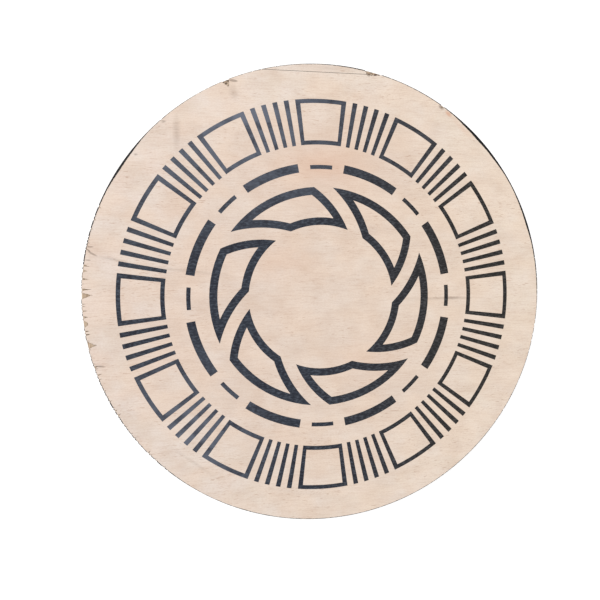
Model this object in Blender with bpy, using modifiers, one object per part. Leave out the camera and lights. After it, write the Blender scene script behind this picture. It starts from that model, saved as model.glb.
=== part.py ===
"""Round balance board: a plywood deck, printed on top, screwed to a turned rocker dome.

Metres, +Z up. The origin is on the floor under the board's centre, where the rubber foot rests.
+Y points to the edge of the deck that carries the narrow strip of face veneer.
Pieces that touch keep MESH_GAP between them, where the real board has a glue line or a bare joint.
"""

import math

import bmesh
import bpy
from mathutils import Vector

# Fits
MESH_GAP = 0.0003  # between two pieces that touch
SCREW_CLEARANCE = 0.0003  # round a screw, and past its point

# Deck
DECK_RADIUS = 0.200
FACE_VENEER = 0.00085  # thickness of the printed face, and of the back
CORE_PLY = 0.0023
CORE_PLY_COUNT = 5
STRIP_WIDTH = 0.0070  # widest part of the narrow sheet of face veneer
DECK_SIDES = 96

# Rubber foot: its sole is the board's only contact with a level floor
FOOT_RADIUS = 0.025
FOOT_LET_IN = 0.002  # how deep it sits in the dome
FOOT_LAND = 0.003  # flat wood round it
FOOT_CHAMFER = 0.0012
FOOT_GROOVE_COUNT = 3
FOOT_GROOVE_WIDTH = 0.0015
FOOT_GROOVE_DEPTH = 0.0010
FOOT_SIDES = 48

# Foot washer and screw
WASHER_RADIUS = 0.0060
WASHER_THICKNESS = 0.0010
WASHER_CLEARANCE = 0.0010  # round the washer, in the foot's counterbore
FOOT_SCREW_LENGTH = 0.020
FOOT_SCREW_RADIUS = 0.0020
FOOT_SCREW_HEAD_RADIUS = 0.0040
FOOT_SCREW_HEAD_HEIGHT = 0.0018
FOOT_SCREW_INSET = 0.0008  # the head's face stays this far above the floor

# Rocker dome: part of a ball whose lowest point would just touch the floor
DOME_BALL_RADIUS = 0.100
DOME_HEIGHT = 0.052  # from the floor to its flat top
DOME_COLLAR = 0.004  # upright band round its top
DOME_EDGE_ROUND = 0.0015
DOME_ARC_STEPS = 11
DOME_SIDES = 72

# Mounting disc, between the dome and the deck
DISC_FLANGE = 0.025  # how far it reaches past the dome
DISC_THICKNESS = 0.010
DISC_EDGE_ROUND = 0.0020
DISC_SIDES = 84

# Countersunk wood screws: eight hold the disc to the deck, four hold the dome to the disc
DECK_SCREW_COUNT = 8
DECK_SCREW_COVER = 0.0051  # wood left between a screw's point and the deck's face
DECK_SCREW_RADIUS = 0.00225
DECK_SCREW_HEAD_RADIUS = 0.0043
DOME_SCREW_COUNT = 4
DOME_SCREW_COVER = 0.0064  # wood left between a screw's point and the dome's surface
DOME_SCREW_RADIUS = 0.0025
DOME_SCREW_HEAD_RADIUS = 0.0048
DOME_SCREW_CIRCLE = 0.045
HEAD_SINK = 0.0002  # a countersunk head lies this far below its face
HEAD_RIM = 0.0004  # upright rim of a countersunk head
RECESS_WIDTH = 0.0009  # driver's cross recess
RECESS_DEPTH = 0.0013
RECESS_SHARE = 0.62  # half length of the cross, as a share of the head's radius
SCREW_POINT = 3.0  # length of a screw's pointed end, in shank radii
SCREW_SIDES = 12

# Merging distance of the turned profiles, far below their shortest step
WELD = 0.00001

# Edges that bend more than this stay sharp under smooth shading
SHARP_ANGLE = math.radians(28)


def ball_radius_at(height):
    """The ball's radius at a height above the floor."""
    return math.sqrt(DOME_BALL_RADIUS**2 - (DOME_BALL_RADIUS - height) ** 2)


def ball_height_at(radius):
    """Height of the ball's lower surface at a distance from the axis."""
    return DOME_BALL_RADIUS - math.sqrt(DOME_BALL_RADIUS**2 - radius**2)


# Heights that follow, from the floor up
FOOT_STANDOUT = ball_height_at(FOOT_RADIUS + FOOT_LAND)
FOOT_TOP = FOOT_STANDOUT + FOOT_LET_IN
FOOT_COUNTERBORE_DEPTH = (
    FOOT_SCREW_INSET + FOOT_SCREW_HEAD_HEIGHT + WASHER_THICKNESS + 2 * MESH_GAP
)
WASHER_BOTTOM = FOOT_SCREW_INSET + FOOT_SCREW_HEAD_HEIGHT + MESH_GAP
DOME_COLLAR_BOTTOM = DOME_HEIGHT - DOME_COLLAR
DISC_BOTTOM = DOME_HEIGHT + MESH_GAP
DISC_TOP = DISC_BOTTOM + DISC_THICKNESS
DECK_BOTTOM = DISC_TOP + MESH_GAP
CORE_BOTTOM = DECK_BOTTOM + FACE_VENEER + MESH_GAP
FACE_BOTTOM = CORE_BOTTOM + CORE_PLY_COUNT * (CORE_PLY + MESH_GAP)
DECK_TOP = FACE_BOTTOM + FACE_VENEER

# Widths and lengths that follow
SEAM_DISTANCE = DECK_RADIUS - STRIP_WIDTH
FOOT_COUNTERBORE_RADIUS = WASHER_RADIUS + WASHER_CLEARANCE
DOME_RADIUS = ball_radius_at(DOME_COLLAR_BOTTOM)
DISC_RADIUS = DOME_RADIUS + DISC_FLANGE
DECK_SCREW_CIRCLE = DOME_RADIUS + DISC_FLANGE / 2
DECK_SCREW_FACE = DISC_BOTTOM + HEAD_SINK
DECK_SCREW_LENGTH = DECK_TOP - DECK_SCREW_COVER - DECK_SCREW_FACE
DOME_SCREW_FACE = DISC_TOP - HEAD_SINK
DOME_SCREW_LENGTH = DOME_SCREW_FACE - ball_height_at(DOME_SCREW_CIRCLE) - DOME_SCREW_COVER


def clear_scene():
    for item in list(bpy.data.objects):
        bpy.data.objects.remove(item, do_unlink=True)


def new_collection(name):
    collection = bpy.data.collections.new(name)
    bpy.context.scene.collection.children.link(collection)
    return collection


def linear(channel):
    """One sRGB channel, 0 to 255, as Blender's linear value."""
    share = channel / 255
    return share / 12.92 if share <= 0.04045 else ((share + 0.055) / 1.055) ** 2.4


def new_material(name, rgb, roughness, metallic=0.0):
    material = bpy.data.materials.new(name)
    material.use_nodes = True
    shader = material.node_tree.nodes["Principled BSDF"]
    shader.inputs["Base Color"].default_value = (*[linear(c) for c in rgb], 1.0)
    shader.inputs["Roughness"].default_value = roughness
    shader.inputs["Metallic"].default_value = metallic
    return material


def add_object(name, mesh, collection, material=None):
    item = bpy.data.objects.new(name, mesh)
    collection.objects.link(item)
    if material and not mesh.materials:
        mesh.materials.append(material)
    return item


def turned(name, profile, sides, collection, material=None, closed=False):
    """Turns a profile of (radius, height) points about Z. The profile runs down the outer side."""
    mesh = bpy.data.meshes.new(name)
    edges = [(i, i + 1) for i in range(len(profile) - 1)]
    if closed:
        edges.append((len(profile) - 1, 0))
    mesh.from_pydata([(radius, 0.0, height) for radius, height in profile], edges, [])
    item = add_object(name, mesh, collection, material)
    screw = item.modifiers.new("turn", "SCREW")
    screw.axis = "Z"
    screw.angle = 2 * math.pi
    screw.steps = sides
    screw.render_steps = sides
    screw.use_merge_vertices = True
    screw.merge_threshold = WELD
    screw.use_smooth_shade = True
    return item


def disc(name, radius, bottom, thickness, sides, collection, material=None):
    """A flat round plate, or a cutter of that shape."""
    mesh = bpy.data.meshes.new(name)
    work = bmesh.new()
    bmesh.ops.create_cone(
        work, cap_ends=True, segments=sides, radius1=radius, radius2=radius, depth=thickness
    )
    bmesh.ops.translate(work, verts=work.verts, vec=(0, 0, bottom + thickness / 2))
    work.to_mesh(mesh)
    work.free()
    return add_object(name, mesh, collection, material)


def cut_across(item, distance, keep_far_side):
    """Cuts an object with an upright plane that faces +Y, and closes the cut."""
    work = bmesh.new()
    work.from_mesh(item.data)
    cut = bmesh.ops.bisect_plane(
        work,
        geom=[*work.verts, *work.edges, *work.faces],
        dist=WELD,
        plane_co=(0, distance, 0),
        plane_no=(0, 1, 0),
        clear_inner=keep_far_side,
        clear_outer=not keep_far_side,
    )
    edges = [e for e in cut["geom_cut"] if isinstance(e, bmesh.types.BMEdge)]
    bmesh.ops.edgeloop_fill(work, edges=edges)
    bmesh.ops.recalc_face_normals(work, faces=work.faces)
    work.to_mesh(item.data)
    work.free()


def subtract(item, cutter):
    boolean = item.modifiers.new("cut " + cutter.name, "BOOLEAN")
    boolean.operation = "DIFFERENCE"
    boolean.solver = "EXACT"
    boolean.object = cutter


def as_cutter(item):
    item.hide_render = True
    item.display_type = "WIRE"
    return item


def evaluated_mesh(item, name):
    """The mesh of an object with its modifiers applied."""
    depsgraph = bpy.context.evaluated_depsgraph_get()
    mesh = bpy.data.meshes.new_from_object(item.evaluated_get(depsgraph))
    mesh.name = name
    return mesh


def shade(mesh):
    mesh.shade_smooth()
    mesh.set_sharp_from_angle(angle=SHARP_ANGLE)
    return mesh


def finish(item):
    """Applies an object's modifiers and shades it smooth, with its corners sharp."""
    mesh = shade(evaluated_mesh(item, item.name))
    item.modifiers.clear()
    item.data = mesh


def ring_places(count, radius, first_angle=0.0):
    """Points spaced evenly on a circle."""
    for i in range(count):
        angle = first_angle + 2 * math.pi * i / count
        yield Vector((radius * math.cos(angle), radius * math.sin(angle), 0))


def screw_point(length, radius, clearance=0.0):
    """Half outline of a screw's pointed end, tip first, or of the hole round it.

    The tip is a cone half as wide as the shank and half as wide as it is high, so a hole that is
    wider by the clearance is higher by twice as much.
    """
    return [
        (0.0, length + 2 * clearance),
        (radius / 2 + clearance, length - radius),
        (radius + clearance, length - SCREW_POINT * radius),
    ]


def countersunk_profile(length, radius, head_radius):
    """Half outline of a countersunk screw: its head's face at height 0, its point at the top."""
    slope_top = HEAD_RIM + head_radius - radius
    return [
        *screw_point(length, radius),
        (radius, slope_top),
        (head_radius, HEAD_RIM),
        (head_radius, 0.0),
        (0.0, 0.0),
    ]


def countersunk_hole(name, length, radius, head_radius, collection):
    """A cutter for that screw's hole, open past the face that the head is sunk in."""
    wide = radius + SCREW_CLEARANCE
    wide_head = head_radius + SCREW_CLEARANCE
    slope_top = HEAD_RIM + SCREW_CLEARANCE + wide_head - wide
    profile = [
        *screw_point(length, radius, SCREW_CLEARANCE),
        (wide, slope_top),
        (wide_head, HEAD_RIM + SCREW_CLEARANCE),
        (wide_head, -HEAD_SINK - 2 * MESH_GAP),
        (0.0, -HEAD_SINK - 2 * MESH_GAP),
    ]
    return as_cutter(turned(name, profile, SCREW_SIDES, collection))


def cross_recess(item, head_radius, collection):
    """Cuts a driver's cross into a screw head whose face is at height 0, from below."""
    length = 2 * RECESS_SHARE * head_radius
    for i, (along_x, along_y) in enumerate([(length, RECESS_WIDTH), (RECESS_WIDTH, length)]):
        mesh = bpy.data.meshes.new("recess")
        work = bmesh.new()
        bmesh.ops.create_cube(work, size=1.0)
        bmesh.ops.scale(work, verts=work.verts, vec=(along_x, along_y, 2 * RECESS_DEPTH))
        work.to_mesh(mesh)
        work.free()
        subtract(item, as_cutter(add_object(f"{item.name}_recess_{i + 1}", mesh, collection)))


def screw_mesh(name, profile, head_radius, collection):
    """A screw's finished mesh, pointing up, for its copies to share."""
    blank = turned(name + "_blank", profile, SCREW_SIDES, collection)
    cross_recess(blank, head_radius, collection)
    mesh = shade(evaluated_mesh(blank, name))
    bpy.data.objects.remove(blank)
    return mesh


def holes_cutter(name, hole, places, point_down, height, collection):
    """Copies of one hole cutter at several places, as a single cutter."""
    work = bmesh.new()
    shape = evaluated_mesh(hole, name + "_shape")
    for place in places:
        before = len(work.verts)
        work.from_mesh(shape)
        work.verts.ensure_lookup_table()
        added = work.verts[before:]
        if point_down:
            bmesh.ops.scale(work, verts=added, vec=(1, -1, -1))
        bmesh.ops.translate(work, verts=added, vec=place + Vector((0, 0, height)))
    mesh = bpy.data.meshes.new(name)
    work.to_mesh(mesh)
    work.free()
    return as_cutter(add_object(name, mesh, collection))


def make_deck(collection, materials, deck_holes):
    """The plywood: a back veneer, crossed core plies and a face veneer in two sheets."""
    layers = [("back_veneer", DECK_BOTTOM, FACE_VENEER, materials["veneer"])]
    for i in range(CORE_PLY_COUNT):
        bottom = CORE_BOTTOM + i * (CORE_PLY + MESH_GAP)
        layers.append((f"core_ply_{i + 1}", bottom, CORE_PLY, materials["core"]))
    screw_end = DECK_SCREW_FACE + DECK_SCREW_LENGTH + 2 * SCREW_CLEARANCE
    for name, bottom, thickness, material in layers:
        ply = disc(name, DECK_RADIUS, bottom, thickness, DECK_SIDES, collection, material)
        if bottom < screw_end:
            subtract(ply, deck_holes)
    for name, side in (("face_veneer", -1), ("face_veneer_strip", 1)):
        sheet = disc(
            name, DECK_RADIUS, FACE_BOTTOM, FACE_VENEER, DECK_SIDES, collection, materials["face"]
        )
        cut_across(sheet, SEAM_DISTANCE + side * MESH_GAP / 2, side > 0)


def make_disc(collection, materials, deck_holes, dome_holes):
    edge = DISC_RADIUS - DISC_EDGE_ROUND
    inset = DISC_EDGE_ROUND * (1 - math.sqrt(0.5))
    profile = [
        (0.0, DISC_TOP),
        (edge, DISC_TOP),
        (DISC_RADIUS - inset, DISC_TOP - inset),
        (DISC_RADIUS, DISC_TOP - DISC_EDGE_ROUND),
        (DISC_RADIUS, DISC_BOTTOM + DISC_EDGE_ROUND),
        (DISC_RADIUS - inset, DISC_BOTTOM + inset),
        (edge, DISC_BOTTOM),
        (0.0, DISC_BOTTOM),
    ]
    mounting_disc = turned("mounting_disc", profile, DISC_SIDES, collection, materials["disc"])
    subtract(mounting_disc, deck_holes)
    subtract(mounting_disc, dome_holes)


def make_dome(collection, materials, dome_holes):
    """A turned cap of a ball, with an upright collar, a recess for the foot and its screw's hole."""
    inset = DOME_EDGE_ROUND * (1 - math.sqrt(0.5))
    profile = [
        (0.0, DOME_HEIGHT),
        (DOME_RADIUS - DOME_EDGE_ROUND, DOME_HEIGHT),
        (DOME_RADIUS - inset, DOME_HEIGHT - inset),
        (DOME_RADIUS, DOME_HEIGHT - DOME_EDGE_ROUND),
    ]
    top = math.acos((DOME_BALL_RADIUS - DOME_COLLAR_BOTTOM) / DOME_BALL_RADIUS)
    bottom = math.asin((FOOT_RADIUS + FOOT_LAND) / DOME_BALL_RADIUS)
    for i in range(DOME_ARC_STEPS + 1):
        angle = top + (bottom - top) * i / DOME_ARC_STEPS
        profile.append((DOME_BALL_RADIUS * math.sin(angle), DOME_BALL_RADIUS * (1 - math.cos(angle))))
    recess = FOOT_RADIUS + MESH_GAP
    ceiling = FOOT_TOP + MESH_GAP
    screw_end = FOOT_SCREW_INSET + FOOT_SCREW_HEAD_HEIGHT + FOOT_SCREW_LENGTH
    profile += [
        (recess, FOOT_STANDOUT),
        (recess, ceiling),
        (FOOT_SCREW_RADIUS + SCREW_CLEARANCE, ceiling),
        *reversed(screw_point(screw_end, FOOT_SCREW_RADIUS, SCREW_CLEARANCE)),
    ]
    dome = turned("rocker_dome", profile, DOME_SIDES, collection, materials["dome"])
    subtract(dome, dome_holes)


def make_foot(collection, materials):
    """The rubber foot with its ring grooves, and the washer in its counterbore."""
    bore = FOOT_SCREW_RADIUS + SCREW_CLEARANCE
    profile = [
        (FOOT_RADIUS, FOOT_TOP),
        (FOOT_RADIUS, FOOT_CHAMFER),
        (FOOT_RADIUS - FOOT_CHAMFER, 0.0),
    ]
    sole_edge = FOOT_RADIUS - FOOT_CHAMFER
    pitch = (sole_edge - FOOT_COUNTERBORE_RADIUS) / FOOT_GROOVE_COUNT
    for i in range(FOOT_GROOVE_COUNT):
        outer = sole_edge - (i + 0.5) * pitch + FOOT_GROOVE_WIDTH / 2
        inner = outer - FOOT_GROOVE_WIDTH
        profile += [
            (outer, 0.0),
            (outer, FOOT_GROOVE_DEPTH),
            (inner, FOOT_GROOVE_DEPTH),
            (inner, 0.0),
        ]
    profile += [
        (FOOT_COUNTERBORE_RADIUS, 0.0),
        (FOOT_COUNTERBORE_RADIUS, FOOT_COUNTERBORE_DEPTH),
        (bore, FOOT_COUNTERBORE_DEPTH),
        (bore, FOOT_TOP),
    ]
    turned("foot_pad", profile, FOOT_SIDES, collection, materials["rubber"], closed=True)
    low = WASHER_BOTTOM
    high = low + WASHER_THICKNESS
    ring = [(WASHER_RADIUS, high), (WASHER_RADIUS, low), (bore, low), (bore, high)]
    turned("foot_washer", ring, 2 * SCREW_SIDES, collection, materials["steel"], closed=True)


def make_foot_screw(collection, cutters, materials):
    """A pan head screw up through the washer and the foot into the dome."""
    length = FOOT_SCREW_HEAD_HEIGHT + FOOT_SCREW_LENGTH
    edge = FOOT_SCREW_HEAD_HEIGHT / 3
    profile = [
        *screw_point(length, FOOT_SCREW_RADIUS),
        (FOOT_SCREW_RADIUS, FOOT_SCREW_HEAD_HEIGHT),
        (FOOT_SCREW_HEAD_RADIUS, FOOT_SCREW_HEAD_HEIGHT),
        (FOOT_SCREW_HEAD_RADIUS, edge),
        (FOOT_SCREW_HEAD_RADIUS - edge, 0.0),
        (0.0, 0.0),
    ]
    mesh = screw_mesh("foot_screw", profile, FOOT_SCREW_HEAD_RADIUS, cutters)
    screw = add_object("foot_screw", mesh, collection, materials["steel"])
    screw.location = (0, 0, FOOT_SCREW_INSET)


def make_screws(collection, cutters, materials):
    """The two rings of countersunk screws: up into the deck, and down into the dome."""
    profile = countersunk_profile(DECK_SCREW_LENGTH, DECK_SCREW_RADIUS, DECK_SCREW_HEAD_RADIUS)
    mesh = screw_mesh("deck_screw", profile, DECK_SCREW_HEAD_RADIUS, cutters)
    for i, place in enumerate(deck_screw_places()):
        screw = add_object(f"deck_screw_{i + 1}", mesh, collection, materials["steel"])
        screw.location = place + Vector((0, 0, DECK_SCREW_FACE))
    profile = countersunk_profile(DOME_SCREW_LENGTH, DOME_SCREW_RADIUS, DOME_SCREW_HEAD_RADIUS)
    mesh = screw_mesh("dome_screw", profile, DOME_SCREW_HEAD_RADIUS, cutters)
    for i, place in enumerate(dome_screw_places()):
        screw = add_object(f"dome_screw_{i + 1}", mesh, collection, materials["steel"])
        screw.location = place + Vector((0, 0, DOME_SCREW_FACE))
        screw.rotation_euler = (math.pi, 0, 0)


def deck_screw_places():
    return ring_places(DECK_SCREW_COUNT, DECK_SCREW_CIRCLE, math.pi / DECK_SCREW_COUNT)


def dome_screw_places():
    return ring_places(DOME_SCREW_COUNT, DOME_SCREW_CIRCLE, math.pi / DOME_SCREW_COUNT)


def main():
    clear_scene()
    board = new_collection("round_balance_board")
    cutters = new_collection("cutters")
    materials = {
        "face": new_material("printed_face_veneer", (233, 217, 203), 0.55),
        "veneer": new_material("back_veneer", (222, 200, 178), 0.6),
        "core": new_material("plywood_core", (158, 112, 82), 0.7),
        "disc": new_material("beech_disc", (214, 180, 146), 0.5),
        "dome": new_material("turned_beech", (210, 172, 134), 0.42),
        "rubber": new_material("black_rubber", (30, 30, 31), 0.8),
        "steel": new_material("zinc_plated_steel", (178, 180, 182), 0.35, 1.0),
    }
    deck_hole = countersunk_hole(
        "deck_hole", DECK_SCREW_LENGTH, DECK_SCREW_RADIUS, DECK_SCREW_HEAD_RADIUS, cutters
    )
    dome_hole = countersunk_hole(
        "dome_hole", DOME_SCREW_LENGTH, DOME_SCREW_RADIUS, DOME_SCREW_HEAD_RADIUS, cutters
    )
    deck_holes = holes_cutter(
        "deck_holes", deck_hole, deck_screw_places(), False, DECK_SCREW_FACE, cutters
    )
    dome_holes = holes_cutter(
        "dome_holes", dome_hole, dome_screw_places(), True, DOME_SCREW_FACE, cutters
    )
    make_deck(board, materials, deck_holes)
    make_disc(board, materials, deck_holes, dome_holes)
    make_dome(board, materials, dome_holes)
    make_foot(board, materials)
    for item in list(board.objects):
        finish(item)
    make_foot_screw(board, cutters, materials)
    make_screws(board, cutters, materials)


main()
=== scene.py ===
"""The look of the round balance board: its printed, saw-chipped face, painted edge and beech rocker.

Metres, +Z up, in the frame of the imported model. +Y is the top of the photograph. Clock angles are in
degrees, clockwise from +Y as seen from above, so they read as on a clock face.
"""

import math
import random

import bmesh
import bpy
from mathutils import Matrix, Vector, noise


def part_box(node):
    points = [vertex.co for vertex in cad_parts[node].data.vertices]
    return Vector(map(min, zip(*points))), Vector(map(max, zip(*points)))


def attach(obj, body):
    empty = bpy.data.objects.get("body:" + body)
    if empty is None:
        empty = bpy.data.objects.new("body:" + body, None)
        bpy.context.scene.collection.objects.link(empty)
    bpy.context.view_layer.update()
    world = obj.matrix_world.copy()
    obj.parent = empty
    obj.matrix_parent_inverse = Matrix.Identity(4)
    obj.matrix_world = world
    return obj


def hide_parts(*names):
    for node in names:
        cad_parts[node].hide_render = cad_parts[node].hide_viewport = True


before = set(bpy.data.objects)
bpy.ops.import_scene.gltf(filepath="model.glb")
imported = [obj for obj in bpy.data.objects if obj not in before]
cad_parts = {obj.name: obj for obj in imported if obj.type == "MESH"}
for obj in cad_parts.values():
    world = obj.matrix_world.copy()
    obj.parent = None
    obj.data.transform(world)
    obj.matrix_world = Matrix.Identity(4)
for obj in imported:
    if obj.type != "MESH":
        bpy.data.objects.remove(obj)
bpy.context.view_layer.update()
random.seed(7)

MILLIMETRES_PER_METRE = 1000.0

# Deck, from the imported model
DECK_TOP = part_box("face_veneer")[1].z
DECK_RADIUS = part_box("core_ply_5")[1].y
FACE_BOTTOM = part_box("face_veneer")[0].z
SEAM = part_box("face_veneer")[1].y
CORE_PLIES = 5

# Ink: a film on top of the veneer, which lies lower by the film's height. It sinks a little into the
# veneer, so that no gap shows under it.
INK_HEIGHT = 0.00004
INK_SUNK = 0.00003
PRINT_CENTRE = Vector((-0.0017, -0.0013, 0.0))

# Printed ring of twelve frames with four bars between neighbours. Radii and the line's width are in
# metres. A frame's and a bar's half width, a frame's side line and the bars' pitch are in degrees.
FRAME_COUNT = 12
FRAME_INNER = 0.1325
FRAME_OUTER = 0.1715
FRAME_LINE = 0.0036
FRAME_HALF = 7.45
FRAME_SIDE = 1.4
BAR_COUNT = 4
BAR_PITCH = 3.3
BAR_HALF = 0.7

# Printed ring of dashes, thick and thin in turn: inner and outer radius, and half the angle
DASH_COUNT = 8
THICK_DASH = (0.1096, 0.1170, 12.45)
THIN_DASH = (0.1115, 0.1150, 4.85)

# Printed ring of six blades: each is a ring sector between two arcs, drawn as a line with an outer and
# an inner side. An arc is given by its centre's distance and clock angle, and its radius.
BLADE_COUNT = 6
ARC_STEPS = 12
BLADE_OUTSIDE = {
    "outer": 0.0961, "inner": 0.0631, "lead": (0.0616, 295.6, 0.0952), "trail": (0.0606, 358.0, 0.0823)}
BLADE_INSIDE = {
    "outer": 0.0893, "inner": 0.0697, "lead": (0.0605, 297.5, 0.0996), "trail": (0.0610, 356.2, 0.0775)}

# Camera: a 28 mm lens, a little to the upper left of the board's middle, as in the photograph. Turns
# are in degrees, and the lens and sensor in millimetres.
CAMERA_PLACE = (-0.0342, 0.0304, DECK_TOP + 0.4081)
CAMERA_TURN = (-2.237, -7.541, -0.173)
CAMERA_LENS = 28.0
CAMERA_SENSOR = 36.0
CAMERA_SHIFT = (-0.0768, -0.0346)
CAMERA_NEAREST = 0.01

# Light: the white sky's strength on the wood, one broad soft lamp above and to the left, and the
# floor, which glows a little to the camera
WHITE = (1.0, 1.0, 1.0, 1.0)
SKY_ON_WOOD = 0.76
LAMP_PLACE = Vector((-0.9, 0.9, 1.9))
LAMP_SIZE = 1.4
LAMP_POWER = 14.0
FLOOR_HALF = 4.0
FLOOR_COLOUR = (0.8, 0.8, 0.8, 1.0)
FLOOR_GLOW = 0.45


# Nodes and patterns

def linear(hex_colour):
    """An sRGB colour such as 'E5D0BF' as Blender's linear RGBA."""
    channels = []
    for start in (0, 2, 4):
        level = int(hex_colour[start:start + 2], 16) / 255
        channels.append(level / 12.92 if level <= 0.04045 else ((level + 0.055) / 1.055) ** 2.4)
    return (*channels, 1.0)


def fill(tree, node, inputs):
    """Gives a node's inputs their values, sRGB hex colours, or links from other nodes' outputs."""
    for socket, value in inputs.items():
        if isinstance(value, bpy.types.NodeSocket):
            tree.links.new(value, node.inputs[socket])
        else:
            node.inputs[socket].default_value = linear(value) if isinstance(value, str) else value


def add(tree, kind, inputs=None, output=0, stops=(), **settings):
    """Adds a node with its settings and links, and gives one of its outputs.

    Stops are a colour ramp's, up to 32: rising positions, with hex colours or grey levels.
    """
    node = tree.nodes.new(kind)
    for name, value in settings.items():
        setattr(node, name, value)
    fill(tree, node, inputs or {})
    if stops:
        elements = node.color_ramp.elements
        elements.remove(elements[1])
        elements[0].position = stops[0][0]
    for i, (position, colour) in enumerate(stops):
        element = elements.new(position) if i else elements[0]
        element.color = linear(colour) if isinstance(colour, str) else (colour, colour, colour, 1.0)
    return node.outputs[output]


def new_material(name):
    """A new material, its node tree and its shader."""
    material = bpy.data.materials.new(name)
    material.use_nodes = True
    return material, material.node_tree, material.node_tree.nodes["Principled BSDF"]


def millimetres(tree):
    """Object coordinates in millimetres, so that pattern sizes read as real sizes."""
    place = add(tree, "ShaderNodeTexCoord", output="Object")
    return add(tree, "ShaderNodeVectorMath", {0: place, "Scale": MILLIMETRES_PER_METRE}, operation="SCALE")


def grain(tree, place, size, detail=2.0, warp=0.0, shift=0.0, shows=None):
    """Noise whose grains have the given length, width and depth in millimetres.

    With shows, it is 0 below the first level and 1 above the second.
    """
    mapped = add(tree, "ShaderNodeMapping", {
        "Vector": place, "Location": (shift, shift, shift), "Scale": tuple(1 / side for side in size)})
    pattern = add(tree, "ShaderNodeTexNoise", {
        "Vector": mapped, "Scale": 1.0, "Detail": detail, "Distortion": warp})
    if shows is None:
        return pattern
    return add(tree, "ShaderNodeMapRange", {
        "Value": pattern, "From Min": shows[0], "From Max": shows[1]}, interpolation_type="SMOOTHSTEP")


def weigh(tree, parts):
    """Adds up patterns, each by its share, and keeps the sum between 0 and 1."""
    whole = 0.0
    for pattern, share in parts:
        whole = add(tree, "ShaderNodeMath", {0: pattern, 1: share, 2: whole},
                    operation="MULTIPLY_ADD", use_clamp=True)
    return whole


def coat(tree, under, over, pattern, strength=1.0):
    """Lays one colour over another where a pattern shows. The strength may be a pattern too."""
    share = add(tree, "ShaderNodeMath", {0: pattern, 1: strength}, operation="MULTIPLY")
    # The mix node's colours are its inputs 6 and 7 and its output 2
    return add(tree, "ShaderNodeMix", {0: share, 6: under, 7: over}, output=2, data_type="RGBA")


# Pieces

def new_piece(name, work, materials, slot, *replaced):
    """Makes a bmesh an object of the board, in the place of the CAD nodes that it stands for."""
    mesh = bpy.data.meshes.new(name)
    work.to_mesh(mesh)
    work.free()
    for material in materials:
        mesh.materials.append(material)
    piece = bpy.data.objects.new(name, mesh)
    bpy.context.scene.collection.objects.link(piece)
    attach(piece, "root")
    if replaced:
        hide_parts(*replaced)


def on_clock(radius, clock):
    """The point at a radius and a clock angle."""
    angle = math.radians(clock)
    return Vector((radius * math.sin(angle), radius * math.cos(angle), 0.0))


def thicken(work, height):
    """Draws flat faces up into a plate."""
    grown = bmesh.ops.extrude_face_region(work, geom=work.faces[:])
    raised = [part for part in grown["geom"] if isinstance(part, bmesh.types.BMVert)]
    bmesh.ops.translate(work, verts=raised, vec=(0, 0, height))
    bmesh.ops.recalc_face_normals(work, faces=work.faces)


# Materials

# Soft marks on the wood, as (x, y, half length, half width, turn, strength) in millimetres and
# degrees, the turn anticlockwise from the grain. First dark stains and scuffs, then warm blushes.
STAINS = [
    (-122.3, 138.0, 4.0, 16.0, 0.0, 0.60),
    (-75.4, 172.4, 5.0, 8.0, 20.0, 0.45),
    (-75.6, 182.3, 4.2, 1.2, -4.0, 3.40),
    (-80.5, 180.5, 2.5, 1.6, -60.0, 2.00),
    (116.0, -3.6, 24.0, 1.6, 0.0, 0.80),
    (98.0, -4.2, 50.0, 2.5, 0.0, 0.25),
    (-190.5, 36.8, 5.0, 1.0, -28.0, 1.80),
    (-192.2, 42.4, 3.5, 0.8, 2.0, 1.80),
    (-193.4, 39.6, 2.5, 0.7, -40.0, 1.80),
    (-194.0, 31.6, 3.0, 0.8, -3.0, 1.80),
    (-173.0, 32.0, 17.0, 1.6, -11.0, 0.50),
    (-118.0, 22.5, 52.0, 2.0, -6.7, 0.40),
    (-112.0, -143.0, 28.0, 2.0, -38.0, 0.30),
    (-132.5, 146.3, 2.5, 1.4, 10.0, 1.20),
    (-155.0, 118.6, 2.0, 1.2, 0.0, 1.00),
    (106.3, 167.2, 3.4, 2.0, -35.0, 2.20),
    (46.0, 193.0, 3.0, 1.0, -15.0, 1.20),
    (-186.5, -56.8, 5.0, 0.9, -5.0, 2.40),
    (2.0, 196.5, 52.0, 4.5, 0.0, 0.22),
]
BLUSHES = [
    (0.0, 112.0, 42.0, 18.0, 0.0, 0.32),
    (6.0, 116.0, 95.0, 52.0, 0.0, 0.28),
    (112.8, 161.8, 4.5, 2.4, -38.0, 1.40),
    (126.0, 149.0, 16.0, 3.0, -43.0, 0.35),
    (40.0, -60.0, 50.0, 30.0, 0.0, 0.20),
    (-40.0, 30.0, 40.0, 26.0, 0.0, 0.20),
]

# Painted reflection: where the ink is drawn paler, standing in for the sky's sheen on it. The same six
# numbers
PAINTED_INK_SHEEN = [
    (-78.0, 158.0, 130.0, 115.0, 0.0, 1.00),
    (-118.0, -118.0, 92.0, 80.0, -45.0, 0.85),
    (-150.0, 70.0, 60.0, 60.0, 0.0, 0.30),
    (76.0, 132.0, 60.0, 60.0, 0.0, 0.25),
]
MARK_DEPTH = 10.0

# Where the edge's paint has crept over the arris: clock angle and width in millimetres
CREEP = [
    (0, 0.45), (8, 0.8), (20, 0.45), (32, 0.6), (36, 0.8), (40, 1.9), (45, 2.5), (53, 1.7),
    (57, 1.05), (61, 0.95), (68, 1.55), (72, 1.8), (76, 1.05), (82, 0.9), (89, 0.75), (93, 0.35),
    (200, 0.45), (212, 0.25), (222, 0.6), (234, 0.5), (242, 0.75), (252, 0.55), (274, 0.3),
    (280, 0.85), (292, 0.9), (297, 1.0), (302, 1.9), (307, 1.65), (313, 0.5), (330, 0.2), (360, 0.45),
]
CREEP_MOST = 2.5

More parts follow.
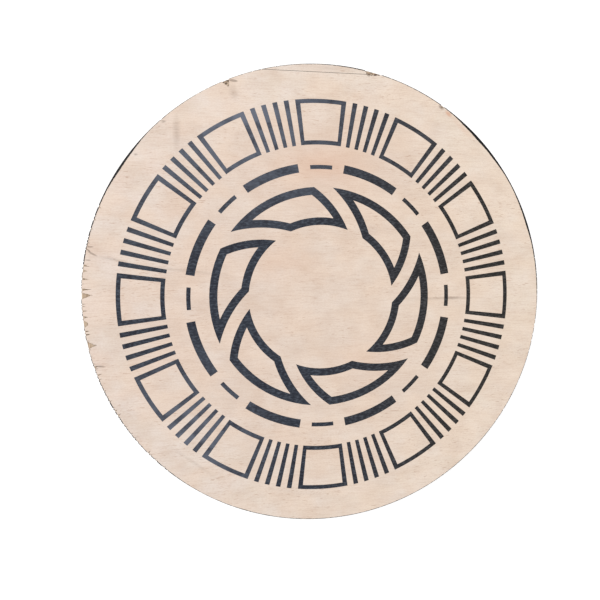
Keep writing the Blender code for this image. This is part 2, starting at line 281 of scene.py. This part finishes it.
# The crept paint's border, in millimetres: its bumps' size, how far they reach, and its softness
CREEP_BUMP = 1.6
CREEP_RAGGED = 0.4
CREEP_SOFT = 0.12


def soft_marks(tree, place, marks):
    """Soft oval marks that fade out from their middles, added up, 0 to 1."""
    spots = []
    for x, y, half_length, half_width, turn, strength in marks:
        mapped = add(tree, "ShaderNodeMapping", {
            "Vector": place,
            "Location": (x, y, DECK_TOP * MILLIMETRES_PER_METRE),
            "Rotation": (0, 0, math.radians(turn)),
            "Scale": (half_length, half_width, MARK_DEPTH),
        }, vector_type="TEXTURE")
        spot = add(tree, "ShaderNodeTexGradient", {"Vector": mapped}, output="Fac",
                   gradient_type="SPHERICAL")
        spots.append((spot, strength))
    return weigh(tree, spots)


def veneer_grain(tree, place):
    """How dark the sanded beech's growth bands, fibres, pores and ray flecks are, 0 to 1."""
    bands = grain(tree, place, (120, 12, 40), detail=3.0, warp=0.6, shows=(0.42, 0.78))
    clouds = grain(tree, place, (22, 18, 20), warp=0.4, shift=23.0, shows=(0.35, 0.75))
    # Real fibres, pores and ray flecks are 0.2 mm wide or less. They are drawn 0.7 to 1 mm wide, or
    # they would not show.
    fibres = grain(tree, place, (12, 1.0, 10), shift=3.0, shows=(0.4, 0.8))
    pores = grain(tree, place, (1.6, 0.8, 3), detail=1.0, shift=53.0, shows=(0.30, 0.70))
    flecks = grain(tree, place, (5.0, 0.7, 10), detail=1.0, warp=0.3, shift=11.0, shows=(0.61, 0.75))
    patches = grain(tree, place, (60, 24, 40), shift=17.0, shows=(0.36, 0.64))
    flecks = add(tree, "ShaderNodeMath", {0: flecks, 1: patches}, operation="MULTIPLY")
    return weigh(tree, [(bands, 0.08), (clouds, 0.13), (fibres, 0.18), (pores, 0.13), (flecks, 0.56)])


def arris_paint(tree, place, across, along, radius):
    """Where the edge's paint shows on the face: as wide as CREEP says, with a ragged soft border."""
    turn = add(tree, "ShaderNodeMath", {0: across, 1: along}, operation="ARCTAN2")
    turn = add(tree, "ShaderNodeMath", {0: turn, 1: 2 * math.pi, 2: 0.0}, operation="WRAP")
    clock = add(tree, "ShaderNodeMath", {0: turn, 1: 0.5 / math.pi}, operation="MULTIPLY")
    width = add(tree, "ShaderNodeValToRGB", {"Fac": clock}, stops=[
        (angle / 360, wide / CREEP_MOST) for angle, wide in CREEP])
    width = add(tree, "ShaderNodeMath", {0: width, 1: CREEP_MOST}, operation="MULTIPLY")
    bumps = grain(tree, place, (CREEP_BUMP, CREEP_BUMP, CREEP_BUMP))
    ragged = add(tree, "ShaderNodeMath", {
        0: bumps, 1: 2 * CREEP_RAGGED, 2: -CREEP_RAGGED}, operation="MULTIPLY_ADD")
    inside = add(tree, "ShaderNodeMath", {
        0: DECK_RADIUS * MILLIMETRES_PER_METRE, 1: radius}, operation="SUBTRACT")
    inside = add(tree, "ShaderNodeMath", {0: inside, 1: ragged}, operation="ADD")
    reach = add(tree, "ShaderNodeMath", {0: width, 1: inside}, operation="SUBTRACT")
    return add(tree, "ShaderNodeMapRange", {
        "Value": reach, "From Min": -CREEP_SOFT, "From Max": CREEP_SOFT}, interpolation_type="SMOOTHSTEP")


def sanded_beech_veneer(name, marked):
    """Rotary-cut beech, sanded and sealed: pale pinkish beige, satin, with short dark ray flecks."""
    material, tree, shader = new_material(name)
    place = millimetres(tree)
    across = add(tree, "ShaderNodeSeparateXYZ", {0: place}, output="X")
    along = add(tree, "ShaderNodeSeparateXYZ", {0: place}, output="Y")
    level = add(tree, "ShaderNodeCombineXYZ", {0: across, 1: along})
    radius = add(tree, "ShaderNodeVectorMath", {0: level}, output="Value", operation="LENGTH")

    # Pale pink to tan in soft clouds, and paler towards the rim
    tint = grain(tree, place, (26, 19, 25), detail=5.0, shift=5.0)
    middle = add(tree, "ShaderNodeValToRGB", {"Fac": tint}, stops=[(0.34, "ECDCD1"), (0.66, "E5D1C3")])
    rim = add(tree, "ShaderNodeValToRGB", {"Fac": tint}, stops=[(0.34, "F0E3DA"), (0.66, "EADACC")])
    outwards = add(tree, "ShaderNodeMapRange", {
        "Value": radius, "From Min": 110.0, "From Max": 200.0}, interpolation_type="SMOOTHSTEP")
    colour = coat(tree, middle, rim, outwards)

    # Warmer in patches, and a little paler and warmer towards +X, which is painted light that offsets the
    # lamp's shading from the left
    warmth = grain(tree, place, (30, 24, 30), detail=4.0, shift=61.0, shows=(0.35, 0.65))
    colour = coat(tree, colour, "F4D9C4", warmth, 0.40)
    painted_light_to_right = add(tree, "ShaderNodeMapRange", {
        "Value": across, "From Min": -260.0, "From Max": 260.0}, interpolation_type="SMOOTHSTEP")
    colour = coat(tree, colour, "FFEED5", painted_light_to_right, 0.36)

    colour = coat(tree, colour, "BE9C86", veneer_grain(tree, place))
    if marked:
        colour = coat(tree, colour, "E0B79E", soft_marks(tree, place, BLUSHES))
        torn = grain(tree, place, (10, 1.6, 10), shift=29.0)
        colour = coat(tree, colour, "6C584B", soft_marks(tree, place, STAINS), torn)
    colour = coat(tree, colour, "121213", arris_paint(tree, place, across, along, radius))
    height = grain(tree, place, (18, 0.7, 10), detail=3.0, shift=3.0)
    fill(tree, shader, {
        "Base Color": colour,
        "Roughness": 0.5,
        "Specular IOR Level": 0.2,
        "Normal": add(tree, "ShaderNodeBump", {"Height": height, "Distance": 0.00006, "Strength": 0.35}),
    })
    return material


def screen_printed_ink():
    """Slate black screen ink on wood: a thin satin film that sinks a little along the grain."""
    material, tree, shader = new_material("screen_printed_ink")
    place = millimetres(tree)

    # Bluer on the left and paler at the upper and lower left: a painted reflection of the sky's sheen
    across = add(tree, "ShaderNodeSeparateXYZ", {0: place}, output="X")
    painted_light_to_right = add(tree, "ShaderNodeMapRange", {
        "Value": across, "From Min": -40.0, "From Max": 150.0}, interpolation_type="SMOOTHSTEP")
    colour = coat(tree, "252A35", "211F1D", painted_light_to_right)
    colour = coat(tree, colour, "757A88", soft_marks(tree, place, PAINTED_INK_SHEEN), 0.85)
    # Darker pools and a fine pale speckle, their colours also tinted bluer on the left by the painted
    # reflection
    pools = grain(tree, place, (13, 10, 12), detail=3.0, shift=37.0, shows=(0.40, 0.68))
    colour = coat(tree, colour, coat(tree, "1B1B27", "1C1A19", painted_light_to_right), pools, 0.65)
    speckle = grain(tree, place, (3.2, 1.5, 3), detail=3.0, shift=41.0, shows=(0.40, 0.75))
    colour = coat(tree, colour, coat(tree, "68717E", "6A6664", painted_light_to_right), speckle, 0.40)
    height = grain(tree, place, (18, 0.7, 10), detail=3.0, shift=3.0)
    fill(tree, shader, {
        "Base Color": colour,
        "Roughness": 0.45,
        "Specular IOR Level": 0.2,
        "Normal": add(tree, "ShaderNodeBump", {"Height": height, "Distance": 0.00005, "Strength": 0.4}),
    })
    return material


def brown_core_veneer():
    """Rotary-cut hardwood under the face: tan, coarse and unsanded, with darker streaks towards +Y that
    are painted shade for the chips at the top.
    """
    material, tree, shader = new_material("brown_core_veneer")
    place = millimetres(tree)
    fibres = grain(tree, place, (1.2, 14, 10), detail=4.0, warp=0.2)
    colour = add(tree, "ShaderNodeValToRGB", {"Fac": fibres}, stops=[
        (0.3, "8E7864"), (0.45, "C2A88E"), (0.6, "D6BFA6")])
    along = add(tree, "ShaderNodeSeparateXYZ", {0: place}, output="Y")
    # Painted shade: darker towards +Y in splinter streaks, standing in for the shade in the chips at the
    # top
    painted_chip_shade = add(tree, "ShaderNodeMapRange", {
        "Value": along, "From Min": 120.0, "From Max": 180.0}, interpolation_type="SMOOTHSTEP")
    splinters = grain(tree, place, (2.6, 1.1, 4), warp=0.4, shift=7.0, shows=(0.38, 0.60))
    fill(tree, shader, {
        "Base Color": coat(tree, colour, "5E4A3C", painted_chip_shade, splinters),
        "Roughness": 0.75,
        "Normal": add(tree, "ShaderNodeBump", {"Height": fibres, "Distance": 0.0003, "Strength": 0.6}),
    })
    return material


def painted_edge():
    """Black acrylic brushed on the sawn edge: satin, with brush marks and the plies showing through."""
    material, tree, shader = new_material("painted_edge")
    place = millimetres(tree)
    brush = grain(tree, place, (14, 14, 0.5), detail=3.0, warp=0.2)
    paint = add(tree, "ShaderNodeValToRGB", {"Fac": brush}, stops=[(0.3, "141416"), (0.7, "242427")])
    worn = grain(tree, place, (3, 3, 1.2), detail=3.0, shift=9.0, shows=(0.70, 0.74))
    fill(tree, shader, {
        "Base Color": coat(tree, paint, "8A6248", worn),
        "Roughness": add(tree, "ShaderNodeMapRange", {"Value": brush, "To Min": 0.35, "To Max": 0.6}),
        "Normal": add(tree, "ShaderNodeBump", {"Height": brush, "Distance": 0.0002, "Strength": 0.5}),
    })
    return material


def lacquered_beech(name, light, dark, tool_marks):
    """Solid beech under clear lacquer: pink-brown growth rings, ray flecks and fine tool marks."""
    material, tree, shader = new_material(name)
    place = millimetres(tree)
    # Flat-sawn: the growth layers lie nearly level, 3 mm apart, so a turned shape cuts them as
    # contours. Fibres and flecks are drawn wider than real ones, or they would not show.
    growth = grain(tree, place, (300, 120, 2.8), detail=1.0, warp=0.2, shows=(0.48, 0.68))
    fibres = grain(tree, place, (30, 1.2, 1.2), detail=3.0, shift=3.0)
    flecks = grain(tree, place, (4.5, 0.9, 0.9), detail=1.0, shift=11.0, shows=(0.56, 0.70))
    tone = grain(tree, place, (120, 40, 30))
    darkness = weigh(tree, [(growth, 0.13), (fibres, 0.25), (flecks, 0.45), (tone, 0.25)])
    height = weigh(tree, [(flecks, 0.5), (grain(tree, place, tool_marks), 0.5)])
    fill(tree, shader, {
        "Base Color": coat(tree, light, dark, darkness),
        "Roughness": 0.42,
        "Coat Weight": 0.35,
        "Coat Roughness": 0.25,
        "Normal": add(tree, "ShaderNodeBump", {"Height": height, "Distance": 0.00005, "Strength": 0.4}),
    })
    return material


def moulded_rubber():
    """Black moulded rubber: matte, faintly mottled with dust in its grain."""
    material, tree, shader = new_material("moulded_rubber")
    place = millimetres(tree)
    dust = grain(tree, place, (4, 4, 4), detail=4.0)
    colour = add(tree, "ShaderNodeValToRGB", {"Fac": dust}, stops=[(0.35, "1C1C1D"), (0.75, "3A3937")])
    height = grain(tree, place, (0.4, 0.4, 0.4), detail=1.0)
    fill(tree, shader, {
        "Base Color": colour,
        "Roughness": 0.85,
        "Normal": add(tree, "ShaderNodeBump", {"Height": height, "Distance": 0.0001, "Strength": 0.5}),
    })
    return material


def zinc_plated_steel():
    """Bright zinc on steel screws: pale grey with a faint uneven passivated haze."""
    material, tree, shader = new_material("zinc_plated_steel")
    haze = grain(tree, millimetres(tree), (1.5, 1.5, 1.5), detail=3.0)
    colour = add(tree, "ShaderNodeValToRGB", {"Fac": haze}, stops=[(0.35, "A9ACAF"), (0.65, "C6C8C9")])
    fill(tree, shader, {
        "Base Color": colour,
        "Metallic": 1.0,
        "Roughness": add(tree, "ShaderNodeMapRange", {"Value": haze, "To Min": 0.28, "To Max": 0.5}),
    })
    return material


# Deck

# Sides of the round plates. The face has one every 0.23 mm, so that saw nicks keep their shape.
FACE_SIDES = 5400
PLY_SIDES = 720

# The seam's opening, the glue line between plies, and how far the plies lie inside the face's rim,
# every second one a little further, so that the painted edge shows its layers
SEAM_OPENING = 0.00032
PLY_GAP = 0.00004
PLY_INSET = 0.0001
PLY_STEP = 0.00008

# A face is painted where it lies beyond this share of the radius and its normal rises less than this
RIM_SHARE = 0.96
UPRIGHT = 0.5

# How near a cut a point counts as on it, and how near each other points are welded
CUT_TOLERANCE = 0.000001
WELD_DISTANCE = 0.00001

# Larger chips at the rim, as the clock angles of their start, deepest point and end, and their depth
CHIPS = [
    (10.6, 11.5, 15.3, 0.0040),
    (32.0, 32.5, 33.2, 0.0022),
    (98.2, 98.5, 98.8, 0.0012),
    (100.9, 101.2, 101.4, 0.0015),
    (102.6, 102.8, 103.1, 0.0010),
    (228.4, 228.7, 228.9, 0.0028),
    (240.1, 240.4, 240.7, 0.0032),
    (241.4, 241.7, 241.9, 0.0030),
    (251.0, 251.2, 251.5, 0.0040),
    (252.9, 253.3, 253.6, 0.0030),
    (257.9, 258.3, 259.6, 0.0068),
    (261.1, 261.3, 261.5, 0.0045),
    (261.9, 262.1, 262.3, 0.0042),
    (262.9, 263.8, 264.9, 0.0042),
    (265.2, 265.5, 265.8, 0.0052),
    (266.8, 267.0, 267.2, 0.0042),
    (269.8, 270.8, 271.4, 0.0078),
    (271.8, 272.2, 272.4, 0.0066),
    (274.4, 274.6, 274.9, 0.0055),
    (276.2, 276.6, 277.0, 0.0040),
    (277.6, 277.8, 278.0, 0.0052),
    (317.5, 317.8, 318.0, 0.0012),
    (334.8, 335.9, 336.7, 0.0058),
]

# A chip's outline: 1 would be straight sides, and more is fuller. Its depth is ragged by up to this
# share, with about this many bumps a degree.
CHIP_FULLNESS = 1.2
CHIP_RAGGED = 0.5
CHIP_BUMPS = 11.0

# Fine nicks that the saw left: how many, the clock angles that they lie between, and the deepest. A
# nick is the deepest times the square of a share from NICK_SHARE, and its half width is in degrees.
SAW_NICKS = [
    (110, 222, 293, 0.0032),
    (30, 76, 130, 0.0012),
    (12, 340, 400, 0.0006),
]
NICK_SHARE = (0.25, 1.0)
NICK_HALF_WIDTH = (0.06, 0.15)


def saw_nicks():
    """Fine tear-out where the saw left the fibres' ends, in the same form as the chips."""
    nicks = []
    for count, first, last, deepest in SAW_NICKS:
        for _ in range(count):
            depth = deepest * random.uniform(*NICK_SHARE) ** 2
            middle = random.uniform(first, last)
            half = random.uniform(*NICK_HALF_WIDTH)
            nicks.append((middle - half, middle, middle + half, depth))
    return nicks


def rim_loss(clock, losses):
    """How much of the veneer is missing inwards from the rim at a clock angle."""
    lost = 0.0
    for start, middle, end, depth in losses:
        ahead = (clock - middle + 180) % 360 - 180
        away = ahead / (end - middle) if ahead > 0 else ahead / (start - middle)
        if away < 1:
            rough = 1 + CHIP_RAGGED * noise.noise(Vector((clock * CHIP_BUMPS, middle, 0.0)))
            lost = max(lost, depth * (1 - away ** CHIP_FULLNESS) * rough)
    return lost


def plate(bottom, top, radius, sides, losses=()):
    """A round plate, its rim notched by the losses."""
    work = bmesh.new()
    bmesh.ops.create_circle(work, cap_ends=True, segments=sides, radius=radius)
    for vert in work.verts:
        clock = math.degrees(math.atan2(vert.co.x, vert.co.y))
        vert.co *= 1 - rim_loss(clock, losses) / radius
        vert.co.z = bottom
    thicken(work, top - bottom)
    return work


def keep_side(work, distance, far_side):
    """Cuts a bmesh with an upright plane facing +Y and closes the cut."""
    cut = bmesh.ops.bisect_plane(
        work, geom=[*work.verts, *work.edges, *work.faces], dist=CUT_TOLERANCE,
        plane_co=(0, distance, 0), plane_no=(0, 1, 0), clear_inner=far_side, clear_outer=not far_side)
    edges = [part for part in cut["geom_cut"] if isinstance(part, bmesh.types.BMEdge)]
    bmesh.ops.edgeloop_fill(work, edges=edges)
    bmesh.ops.recalc_face_normals(work, faces=work.faces)


def paint_sides(work):
    """Gives the upright rim faces the second material."""
    for face in work.faces:
        at_rim = face.calc_center_median().xy.length > DECK_RADIUS * RIM_SHARE
        face.material_index = 1 if at_rim and abs(face.normal.z) < UPRIGHT else 0


def make_deck(materials):
    """The face in its two sheets, chipped and nicked, over the core plies and the back."""
    losses = CHIPS + saw_nicks()
    sheets = (
        ("deck_face", "face_veneer", SEAM, False),
        ("deck_face_strip", "face_veneer_strip", SEAM + SEAM_OPENING, True),
    )
    for name, node, edge, far_side in sheets:
        work = plate(FACE_BOTTOM, DECK_TOP - INK_HEIGHT, DECK_RADIUS, FACE_SIDES, losses)
        keep_side(work, edge, far_side)
        paint_sides(work)
        new_piece(name, work, [materials["veneer"], materials["paint"]], "face_veneer", node)
    levels = [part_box(f"core_ply_{i + 1}")[0].z for i in range(CORE_PLIES)] + [FACE_BOTTOM]
    for i in range(CORE_PLIES):
        rim = DECK_RADIUS - PLY_INSET - PLY_STEP * (i % 2)
        work = plate(levels[i], levels[i + 1] - PLY_GAP, rim, PLY_SIDES)
        paint_sides(work)
        new_piece(f"deck_core_{i + 1}", work, [materials["core"], materials["paint"]], "plywood_core",
                  f"core_ply_{i + 1}")
    back_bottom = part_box("back_veneer")[0].z
    work = plate(back_bottom, levels[0] - PLY_GAP, DECK_RADIUS - PLY_INSET, PLY_SIDES)
    paint_sides(work)
    new_piece("deck_back", work, [materials["back"], materials["paint"]], "back_veneer", "back_veneer")


# Print

def sector(work, inner, outer, start, end):
    """Adds a flat ring sector between two clock angles, with about one step a degree."""
    ends = [work.verts.new(on_clock(radius, start)) for radius in (inner, outer)]
    steps = max(1, round(abs(end - start)))
    bmesh.ops.spin(
        work, geom=[*ends, work.edges.new(ends)], cent=(0, 0, 0), axis=(0, 0, 1), dvec=(0, 0, 0),
        angle=-math.radians(end - start), steps=steps, use_merge=False, use_duplicate=False)


def new_print(name, work, ink):
    """Makes flat shapes an ink film on the deck."""
    bmesh.ops.remove_doubles(work, verts=work.verts, dist=WELD_DISTANCE)
    film_bottom = Vector((0, 0, DECK_TOP - INK_HEIGHT - INK_SUNK))
    bmesh.ops.translate(work, verts=work.verts, vec=PRINT_CENTRE + film_bottom)
    thicken(work, INK_HEIGHT + INK_SUNK)
    new_piece(name, work, [ink], "face_veneer")


def make_frames_and_bars(ink):
    """The outer ring: frames, each of four lines round a bare middle, and the bars between them."""
    frames = bmesh.new()
    bars = bmesh.new()
    pitch = 360 / FRAME_COUNT
    radii = [FRAME_INNER, FRAME_INNER + FRAME_LINE, FRAME_OUTER - FRAME_LINE, FRAME_OUTER]
    turns = [-FRAME_HALF, FRAME_SIDE - FRAME_HALF, FRAME_HALF - FRAME_SIDE, FRAME_HALF]
    for i in range(FRAME_COUNT):
        # A frame is three sectors by three, without the middle one
        clock = i * pitch
        for ring in range(3):
            for part in range(3):
                if ring == part == 1:
                    continue
                sector(frames, radii[ring], radii[ring + 1], clock + turns[part], clock + turns[part + 1])
        for j in range(BAR_COUNT):
            middle = (i + 0.5) * pitch + (j - (BAR_COUNT - 1) / 2) * BAR_PITCH
            sector(bars, FRAME_INNER, FRAME_OUTER, middle - BAR_HALF, middle + BAR_HALF)
    new_print("print_frames", frames, ink)
    new_print("print_bars", bars, ink)


def make_dashes(ink):
    """The middle ring: thin and thick dashes in turn."""
    work = bmesh.new()
    pitch = 360 / DASH_COUNT
    for i in range(DASH_COUNT):
        for (inner, outer, half), middle in ((THIN_DASH, i * pitch), (THICK_DASH, (i + 0.5) * pitch)):
            sector(work, inner, outer, middle - half, middle + half)
    new_print("print_dashes", work, ink)


def crossing(arc, ring):
    """Where a blade's arc crosses a ring about the print's centre."""
    distance, clock, radius = arc
    spread = math.acos((distance**2 + ring**2 - radius**2) / (2 * distance * ring))
    return on_clock(ring, clock + math.degrees(spread))


def draw_outline(work, shape):
    """Draws a blade's outline: along the outer ring, trailing arc, inner ring and leading arc."""
    lead = shape["lead"]
    trail = shape["trail"]
    corners = [crossing(lead, shape["outer"]), crossing(trail, shape["outer"]),
               crossing(trail, shape["inner"]), crossing(lead, shape["inner"])]
    middle = Vector((0, 0, 0))
    centres = [middle, on_clock(*trail[:2]), middle, on_clock(*lead[:2])]
    ends = corners[1:] + corners[:1]
    for start, end, centre in zip(corners, ends, centres):
        turn = (start - centre).to_2d().angle_signed((end - centre).to_2d())
        bmesh.ops.spin(
            work, geom=[work.verts.new(start)], cent=centre, axis=(0, 0, 1), dvec=(0, 0, 0),
            angle=-turn, steps=ARC_STEPS, use_merge=False, use_duplicate=False)


def make_blades(ink):
    """The inner ring: one blade's line between its two outlines, spun round to six."""
    work = bmesh.new()
    draw_outline(work, BLADE_OUTSIDE)
    draw_outline(work, BLADE_INSIDE)
    bmesh.ops.remove_doubles(work, verts=work.verts, dist=WELD_DISTANCE)
    bmesh.ops.triangle_fill(work, edges=work.edges[:], use_beauty=True, use_dissolve=False)
    blade = [*work.verts, *work.edges, *work.faces]
    bmesh.ops.spin(
        work, geom=blade, cent=(0, 0, 0), axis=(0, 0, 1), dvec=(0, 0, 0),
        angle=2 * math.pi * (BLADE_COUNT - 1) / BLADE_COUNT, steps=BLADE_COUNT - 1, use_duplicate=True)
    new_print("print_blades", work, ink)


# Underside

def finish_underside(materials):
    """The rocker, its disc, the foot and the screws keep their CAD shapes."""
    looks = {"rocker_dome": "dome", "mounting_disc": "disc", "foot_pad": "rubber"}
    for name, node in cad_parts.items():
        if name in looks:
            look = looks[name]
        elif "screw" in name or "washer" in name:
            look = "zinc"
        else:
            continue
        node.data.materials.clear()
        node.data.materials.append(materials[look])


# Studio

def make_studio():
    """Camera, white surroundings, lamp and floor."""
    scene = bpy.context.scene
    scene.view_settings.view_transform = "Standard"
    camera = bpy.data.objects.new("camera", bpy.data.cameras.new("camera"))
    scene.collection.objects.link(camera)
    scene.camera = camera
    camera.location = CAMERA_PLACE
    camera.rotation_euler = [math.radians(angle) for angle in CAMERA_TURN]
    camera.data.lens = CAMERA_LENS
    camera.data.sensor_width = CAMERA_SENSOR
    camera.data.shift_x, camera.data.shift_y = CAMERA_SHIFT
    camera.data.clip_start = CAMERA_NEAREST

    # White to the camera and in reflections, and a little dimmer as light on the wood
    world = bpy.data.worlds.new("white studio")
    scene.world = world
    world.use_nodes = True
    tree = world.node_tree
    seen = weigh(tree, [
        (add(tree, "ShaderNodeLightPath", output=ray), 1.0)
        for ray in ("Is Camera Ray", "Is Glossy Ray", "Is Transmission Ray")])
    strength = add(tree, "ShaderNodeMapRange", {"Value": seen, "To Min": SKY_ON_WOOD, "To Max": 1.0})
    fill(tree, tree.nodes["Background"], {"Color": WHITE, "Strength": strength})

    lamp = bpy.data.objects.new("soft box", bpy.data.lights.new("soft box", "AREA"))
    scene.collection.objects.link(lamp)
    lamp.data.shape = "DISK"
    lamp.data.size = LAMP_SIZE
    lamp.data.energy = LAMP_POWER
    lamp.location = LAMP_PLACE
    lamp.rotation_euler = (-LAMP_PLACE).to_track_quat("-Z", "Y").to_euler()

    # Floor: white to the camera, with the board's shadow left in
    material, tree, shader = new_material("white_floor")
    camera_ray = add(tree, "ShaderNodeLightPath", output="Is Camera Ray")
    glow = add(tree, "ShaderNodeMath", {0: camera_ray, 1: FLOOR_GLOW}, operation="MULTIPLY")
    fill(tree, shader, {
        "Base Color": FLOOR_COLOUR,
        "Roughness": 0.9,
        "Specular IOR Level": 0.0,
        "Emission Color": WHITE,
        "Emission Strength": glow,
    })
    work = bmesh.new()
    bmesh.ops.create_grid(work, x_segments=1, y_segments=1, size=FLOOR_HALF)
    mesh = bpy.data.meshes.new("floor")
    work.to_mesh(mesh)
    work.free()
    mesh.materials.append(material)
    floor = bpy.data.objects.new("floor", mesh)
    scene.collection.objects.link(floor)


make_studio()
materials = {
    "veneer": sanded_beech_veneer("sanded_beech_veneer", True),
    "back": sanded_beech_veneer("sanded_beech_back", False),
    "ink": screen_printed_ink(),
    "core": brown_core_veneer(),
    "paint": painted_edge(),
    "dome": lacquered_beech("turned_beech", "E3C3A0", "B48359", (40, 40, 1.2)),
    "disc": lacquered_beech("sanded_beech_board", "E6CAA9", "BA8D66", (30, 0.8, 30)),
    "rubber": moulded_rubber(),
    "zinc": zinc_plated_steel(),
}
make_deck(materials)
make_frames_and_bars(materials["ink"])
make_dashes(materials["ink"])
make_blades(materials["ink"])
finish_underside(materials)
